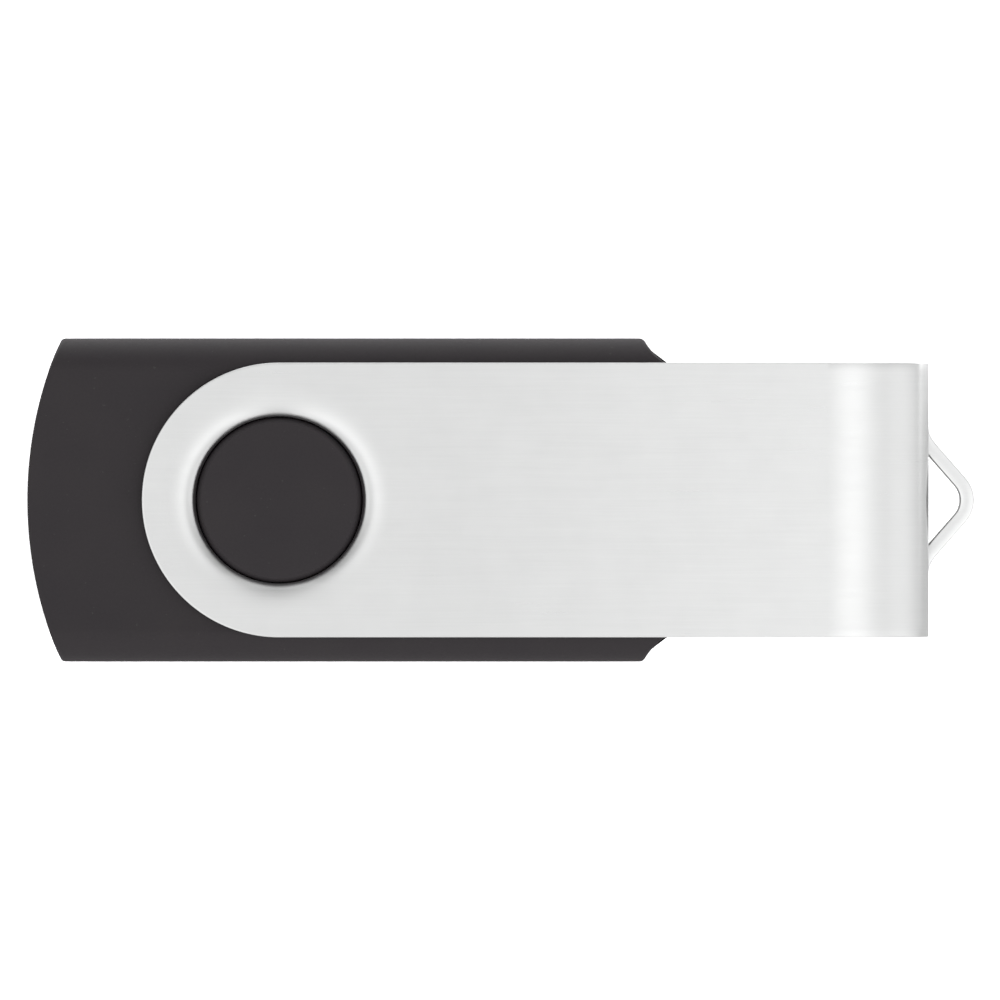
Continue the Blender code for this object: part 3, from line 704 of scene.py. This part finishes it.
def connect(tree, surface, **inputs):
    """Sets the inputs of a Principled BSDF, whose names are written with underscores."""
    for name, value in inputs.items():
        socket = surface.inputs[name.replace("_", " ")]
        if isinstance(value, bpy.types.NodeSocket):
            tree.links.new(value, socket)
        else:
            socket.default_value = value


def black_plastic():
    """Matte moulded plastic with a fine spark-eroded texture, a faint mottle and a few specks of dust."""
    material, tree, surface = new_material("black_plastic")
    texture = grain(tree, (7, 7, 7), 3)
    mottle = grain(tree, (0.25, 0.25, 0.25))
    dust = remap(tree, grain(tree, (5, 5, 5), 0), 0, 0.5, 0.84, 0.88)
    plain = tint(tree, mottle, (0.0165, 0.0125, 0.016), (0.0245, 0.0195, 0.0215))
    dusty = node(tree, "Mix", {"Factor": dust, 6: plain, 7: (0.045, 0.043, 0.042, 1)}, data_type="RGBA")
    connect(
        tree,
        surface,
        Base_Color=dusty.outputs[2],
        Roughness=remap(tree, texture, 0.6, 0.72),
        IOR=1.45,
        Normal=bump(tree, texture, 0.006 * MM, 0.5),
    )
    return material


def brushed_aluminium():
    """Clear-anodised sheet, brushed along the strip, so that reflections spread across it. Its colour
    carries painted shade, a tenth darker towards the pivot end than towards the bend.
    """
    material, tree, surface = new_material("brushed_aluminium")
    fine = grain(tree, (0.25, 11, 0.25), 3)
    coarse = grain(tree, (0.12, 3, 0.12), 2)
    mottle = grain(tree, (0.5, 0.5, 0.5))
    streaks = node(tree, "Math", {0: fine, 1: coarse}, operation="ADD").outputs[0]
    shade = node(tree, "Math", {0: streaks, 1: mottle}, operation="ADD").outputs[0]
    streaked = tint(tree, remap(tree, shade, 0, 1, 1.0, 2.0), (0.78, 0.785, 0.782), (0.83, 0.835, 0.832))
    place = node(tree, "SeparateXYZ", {"Vector": node(tree, "TexCoord").outputs["Object"]})
    # Painted shade: the base colour darkens by a tenth from the bend back towards the pivot end, standing
    # in for the tent being brighter towards +X
    painted_shade_ramp = remap(tree, place.outputs["X"], 0.9, 1.0, 0.28 * CLIP_END, 0.86 * CLIP_END)
    painted_shade_color = node(tree, "VectorMath", {0: streaked, "Scale": painted_shade_ramp}, operation="SCALE")
    across = node(
        tree,
        "VectorTransform",
        {"Vector": (0, 1, 0)},
        vector_type="VECTOR",
        convert_from="OBJECT",
        convert_to="WORLD",
    )
    connect(
        tree,
        surface,
        Base_Color=painted_shade_color.outputs[0],
        Metallic=1.0,
        Roughness=remap(tree, streaks, 0.27, 0.35, 0.6, 1.4),
        Anisotropic=0.75,
        Tangent=across.outputs["Vector"],
        Normal=bump(tree, streaks, 0.002 * MM, 0.35),
    )
    return material


def plated_metal(name, dark, light, roughness, per_mm=(0.4, 8, 8)):
    """Plated sheet with faint drawing marks along X and a slight unevenness of the plating."""
    material, tree, surface = new_material(name)
    marks = grain(tree, per_mm, 3)
    cloud = grain(tree, (0.6, 0.6, 0.6))
    connect(
        tree,
        surface,
        Base_Color=tint(tree, cloud, dark, light),
        Metallic=1.0,
        Roughness=remap(tree, marks, roughness - 0.06, roughness + 0.08),
        Normal=bump(tree, marks, 0.002 * MM, 0.4),
    )
    return material


def moulded(name, dark, light, roughness, per_mm=5):
    """Moulded plastic or resin with a fine grain."""
    material, tree, surface = new_material(name)
    texture = grain(tree, (per_mm, per_mm, per_mm), 3)
    connect(
        tree,
        surface,
        Base_Color=tint(tree, texture, dark, light),
        Roughness=remap(tree, texture, roughness - 0.06, roughness + 0.06),
        Normal=bump(tree, texture, 0.004 * MM, 0.5),
    )
    return material


def inside_box(tree, center, half):
    """1 inside a box of the piece's own space and 0 outside it."""
    place = node(tree, "TexCoord").outputs["Object"]
    shifted = node(tree, "VectorMath", {0: place, 1: center}, operation="SUBTRACT")
    size = node(tree, "VectorMath", {0: shifted.outputs[0]}, operation="ABSOLUTE")
    parts = node(tree, "SeparateXYZ", {"Vector": size.outputs[0]}).outputs
    share = 1.0
    for part, limit in zip(parts, half):
        within = node(tree, "Math", {0: part, 1: limit}, operation="LESS_THAN").outputs[0]
        share = node(tree, "Math", {0: within, 1: share}, operation="MULTIPLY").outputs[0]
    return share


def metal_ended(name, cad_node, ends, dark, light, roughness):
    """A component's body colour, with tinned metal at its ends: their lengths in X, Y and Z."""
    material, tree, surface = new_material(name)
    low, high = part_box(cad_node)
    half = [(b - a) / 2 - end for a, b, end in zip(low, high, ends)]
    body = inside_box(tree, (low + high) / 2, half)
    texture = grain(tree, (6, 6, 6), 3)
    body_color = tint(tree, texture, dark, light)
    metal_color = tint(tree, texture, (0.68, 0.68, 0.66), (0.76, 0.76, 0.74))
    color = node(tree, "Mix", {"Factor": body, 6: metal_color, 7: body_color}, data_type="RGBA")
    connect(
        tree,
        surface,
        Base_Color=color.outputs[2],
        Metallic=remap(tree, body, 1, 0),
        Roughness=remap(tree, body, 0.3, roughness),
        Normal=bump(tree, texture, 0.005 * MM, 0.5),
    )
    return material


def solder_mask():
    """Green mask over copper tracks, with the bare laminate on the board's cut edges."""
    material, tree, surface = new_material("solder_mask")
    place = node(tree, "TexCoord").outputs["Object"]
    per_mm = 0.7 / MM
    scaled = node(tree, "Mapping", {"Vector": place, "Scale": (per_mm, per_mm, per_mm)})
    tracks = node(
        tree,
        "TexBrick",
        {"Vector": scaled.outputs["Vector"], "Scale": 1.0, "Mortar Size": 0.12, "Row Height": 0.45},
    )
    track = tracks.outputs["Fac"]
    normal = node(tree, "NewGeometry").outputs["True Normal"]
    upright = node(tree, "VectorTransform", {"Vector": normal}, convert_from="WORLD", convert_to="OBJECT")
    height = node(tree, "SeparateXYZ", {"Vector": upright.outputs[0]}).outputs["Z"]
    level = node(tree, "Math", {0: height}, operation="ABSOLUTE").outputs[0]
    mask = tint(tree, track, (0.008, 0.075, 0.03), (0.02, 0.15, 0.06))
    flat = remap(tree, level, 0, 1, 0.4, 0.6)
    color = node(tree, "Mix", {"Factor": flat, 6: (0.5, 0.45, 0.26, 1), 7: mask}, data_type="RGBA")
    connect(
        tree,
        surface,
        Base_Color=color.outputs[2],
        Roughness=remap(tree, level, 0.7, 0.3),
        Normal=bump(tree, track, 0.03 * MM, 0.6),
    )
    return material


def crystal_can():
    """Ceramic base with a plated lid."""
    material, tree, surface = new_material("crystal_can")
    low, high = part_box("crystal_oscillator")
    lid_side = 0.28 * MM
    lid_foot = 0.72 * MM
    centre = (low + high) / 2 + Vector((0, 0, lid_foot / 2))
    half = [
        (high.x - low.x) / 2 - lid_side,
        (high.y - low.y) / 2 - lid_side,
        (high.z - low.z - lid_foot) / 2 + CLEARANCE,
    ]
    lid = inside_box(tree, centre, half)
    texture = grain(tree, (8, 8, 8), 2)
    ceramic = tint(tree, texture, (0.1, 0.09, 0.085), (0.13, 0.12, 0.11))
    metal = tint(tree, texture, (0.66, 0.64, 0.6), (0.74, 0.72, 0.68))
    color = node(tree, "Mix", {"Factor": lid, 6: ceramic, 7: metal}, data_type="RGBA")
    connect(
        tree,
        surface,
        Base_Color=color.outputs[2],
        Metallic=lid,
        Roughness=remap(tree, lid, 0.6, 0.25),
        Normal=bump(tree, texture, 0.003 * MM, 0.4),
    )
    return material


# ---------------------------------------------------------------- pieces


def dress(piece, material):
    piece.data.materials.clear()
    piece.data.materials.append(material)


def stand_in(piece, cad_node, body, material):
    """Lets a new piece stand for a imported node, on its body and with its finish."""
    dress(piece, material)
    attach(piece, body)
    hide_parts(cad_node)


def soften(cad_node, width, material):
    """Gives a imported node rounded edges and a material, without changing its mesh."""
    obj = frame["nodes"][cad_node]
    weld = obj.modifiers.new("joined_corners", "WELD")
    weld.merge_threshold = 0.0002 * MM
    round_edges(obj, width)
    dress(obj, material)


plastic = black_plastic()
stand_in(top_shell(), "top_shell", "drive", plastic)
stand_in(bottom_shell(), "bottom_shell", "drive", plastic)
stand_in(swivel_clip(), "swivel_clip", "clip", brushed_aluminium())
nickel = plated_metal("nickel_plate", (0.66, 0.65, 0.62), (0.72, 0.71, 0.68), 0.2)
stand_in(plug_shield(), "plug_shield", "drive", nickel)

white_plastic = moulded("tongue_plastic", (0.76, 0.76, 0.74), (0.82, 0.82, 0.8), 0.42)
soften("plug_insulator", MOULDED_EDGE, white_plastic)
gold = plated_metal("gold_plate", (0.8, 0.57, 0.22), (0.86, 0.64, 0.3), 0.24)
for name in ("power", "data_minus", "data_plus", "ground"):
    soften("plug_contact_" + name, SMALL_EDGE, gold)
soften("circuit_board", SMALL_EDGE, solder_mask())

EPOXY = ((0.016, 0.016, 0.018), (0.026, 0.026, 0.028), 0.6)
CAPACITOR = ((0.38, 0.27, 0.16), (0.47, 0.35, 0.21), 0.5)
RESISTOR = ((0.02, 0.02, 0.024), (0.035, 0.035, 0.04), 0.45)
# Metal ends by axis: a negative length puts them outside the component, so that it has none there
NO_END = -1.0 * MM
END_CAP = (0.35 * MM, NO_END, NO_END)
COMPONENTS = (
    ("flash_memory_chip", (0.8 * MM, NO_END, NO_END), EPOXY),
    ("controller_chip", (1.0 * MM, 1.0 * MM, NO_END), EPOXY),
    ("voltage_regulator", (0.55 * MM, NO_END, NO_END), EPOXY),
    ("power_ferrite_bead", END_CAP, RESISTOR),
    ("power_capacitor", END_CAP, CAPACITOR),
    ("controller_capacitor", END_CAP, CAPACITOR),
    ("flash_capacitor", END_CAP, CAPACITOR),
    ("crystal_capacitor_a", END_CAP, CAPACITOR),
    ("crystal_capacitor_b", END_CAP, CAPACITOR),
    ("data_resistor_minus", END_CAP, RESISTOR),
    ("data_resistor_plus", END_CAP, RESISTOR),
    ("reset_resistor", END_CAP, RESISTOR),
)
for name, ends, finish in COMPONENTS:
    soften(name, SMALL_EDGE, metal_ended(name + "_finish", name, ends, *finish))
soften("crystal_oscillator", MOULDED_EDGE, crystal_can())


# ---------------------------------------------------------------- studio

# The camera's lens and sensor are in millimetres, as Blender takes them
CAMERA_LENS = 600.0
CAMERA_SENSOR = 36.0
CAMERA_HEIGHT = 981.3 * MM
CAMERA_SHIFT = 0.08 * MM
FLOOR_SIZE = 4.0
FLOOR_GAP = 0.02 * MM
# Brightness of the white tent by the angle from straight up, in degrees, towards +-X and towards -Y and +Y
TENT_ALONG = (
    (0, 1.06),
    (3, 1.11),
    (8, 1.35),
    (14, 1.5),
    (21, 1.36),
    (28, 1.12),
    (36, 1.04),
    (46, 1.16),
    (60, 1.12),
    (75, 0.95),
    (90, 0.72),
)
TENT_ACROSS = (
    (-90, 0.95),
    (-60, 0.85),
    (-45, 0.75),
    (-25, 0.95),
    (0, 1.02),
    (7, 0.92),
    (15, 0.64),
    (30, 0.38),
    (48, 0.45),
    (62, 0.6),
    (75, 1.5),
    (90, 1.9),
)
TENT_PEAK = 1.9
BACKDROP = 1.1
FLOOR_SHADE = 0.7
FLOOR_GAIN = 3.4
# Painted light: the floor itself glows in a band beside the drive, standing in for light from behind the
# drive falling there
FLOOR_PAINTED_GLOW = 1.3
GLOW_START = 4 * MM
GLOW_RISE = 20 * MM
GLOW_END = 46 * MM


def brightness_ramp(tree, component, stops):
    """Brightness by a direction's component along one axis, with the stops in degrees from upright."""
    ramp = node(tree, "ValToRGB", {"Fac": remap(tree, component, 0, 1, -1, 1)})
    elements = ramp.color_ramp.elements
    elements.remove(elements[1])
    for index, (angle, brightness) in enumerate(stops):
        place = (1 + math.sin(math.radians(angle))) / 2
        stop = elements.new(place) if index else elements[0]
        stop.position = place
        level = brightness / TENT_PEAK
        stop.color = (level, level, level, 1)
    return ramp.outputs["Color"]


def light_tent():
    """A soft white tent round the drive, seen by the camera as plain white."""
    world = bpy.data.worlds.new("light_tent")
    world.use_nodes = True
    tree = world.node_tree
    tree.nodes.clear()
    parts = node(tree, "SeparateXYZ", {"Vector": node(tree, "TexCoord").outputs["Generated"]}).outputs
    along_mirrored = [(-angle, brightness) for angle, brightness in TENT_ALONG[:0:-1]]
    along = brightness_ramp(tree, parts["X"], along_mirrored + list(TENT_ALONG))
    across = brightness_ramp(tree, parts["Y"], TENT_ACROSS)
    product = node(tree, "Math", {0: along, 1: across}, operation="MULTIPLY").outputs[0]
    light = node(tree, "Background", {"Color": product, "Strength": TENT_PEAK**2})
    plain = node(tree, "Background", {"Color": (1, 1, 1, 1), "Strength": BACKDROP})
    seen = node(tree, "LightPath").outputs["Is Camera Ray"]
    mixed = node(tree, "MixShader", {0: seen, 1: light.outputs[0], 2: plain.outputs[0]})
    node(tree, "OutputWorld", {"Surface": mixed.outputs[0]})
    bpy.context.scene.world = world


def floor():
    """A pale floor, exposed to plain white where nothing shades it, with a band of painted light glowing
    from it beside the drive.
    """
    height = cad_bounds[0].z - FLOOR_GAP
    bpy.ops.mesh.primitive_plane_add(size=FLOOR_SIZE, location=(0, 0, height))
    plane = bpy.context.object
    plane.name = "floor"
    material = bpy.data.materials.new("pale_floor")
    material.use_nodes = True
    tree = material.node_tree
    tree.nodes.clear()
    seen = node(tree, "LightPath").outputs["Is Camera Ray"]
    shade = remap(tree, seen, FLOOR_SHADE, FLOOR_GAIN * FLOOR_SHADE)
    surface = node(tree, "BsdfDiffuse", {"Color": shade})
    # Painted light: an emission band on the floor, rising from GLOW_START and gone by GLOW_END in Y
    place = node(tree, "SeparateXYZ", {"Vector": node(tree, "NewGeometry").outputs["Position"]})
    rise = remap(tree, place.outputs["Y"], 0, FLOOR_PAINTED_GLOW, GLOW_START, GLOW_START + GLOW_RISE)
    fall = remap(tree, place.outputs["Y"], FLOOR_PAINTED_GLOW, 0, GLOW_END - GLOW_RISE, GLOW_END)
    painted_glow = node(tree, "Math", {0: rise, 1: fall}, operation="MINIMUM").outputs[0]
    light = node(tree, "Emission", {"Strength": painted_glow})
    lit = node(tree, "AddShader", {0: surface.outputs[0], 1: light.outputs[0]})
    node(tree, "OutputMaterial", {"Surface": lit.outputs[0]})
    dress(plane, material)


def camera():
    """Looks straight down at the middle of the drive, with the plug end to the right."""
    data = bpy.data.cameras.new("camera")
    data.lens = CAMERA_LENS
    data.sensor_width = CAMERA_SENSOR
    data.clip_start = 10 * MM
    data.clip_end = 10
    viewer = bpy.data.objects.new("camera", data)
    middle = (cad_bounds[0].x + cad_bounds[1].x) / 2
    viewer.location = (middle - CAMERA_SHIFT, 0, CAMERA_HEIGHT)
    bpy.context.scene.collection.objects.link(viewer)
    bpy.context.scene.camera = viewer


light_tent()
floor()
camera()
bpy.context.scene.view_settings.view_transform = "Standard"
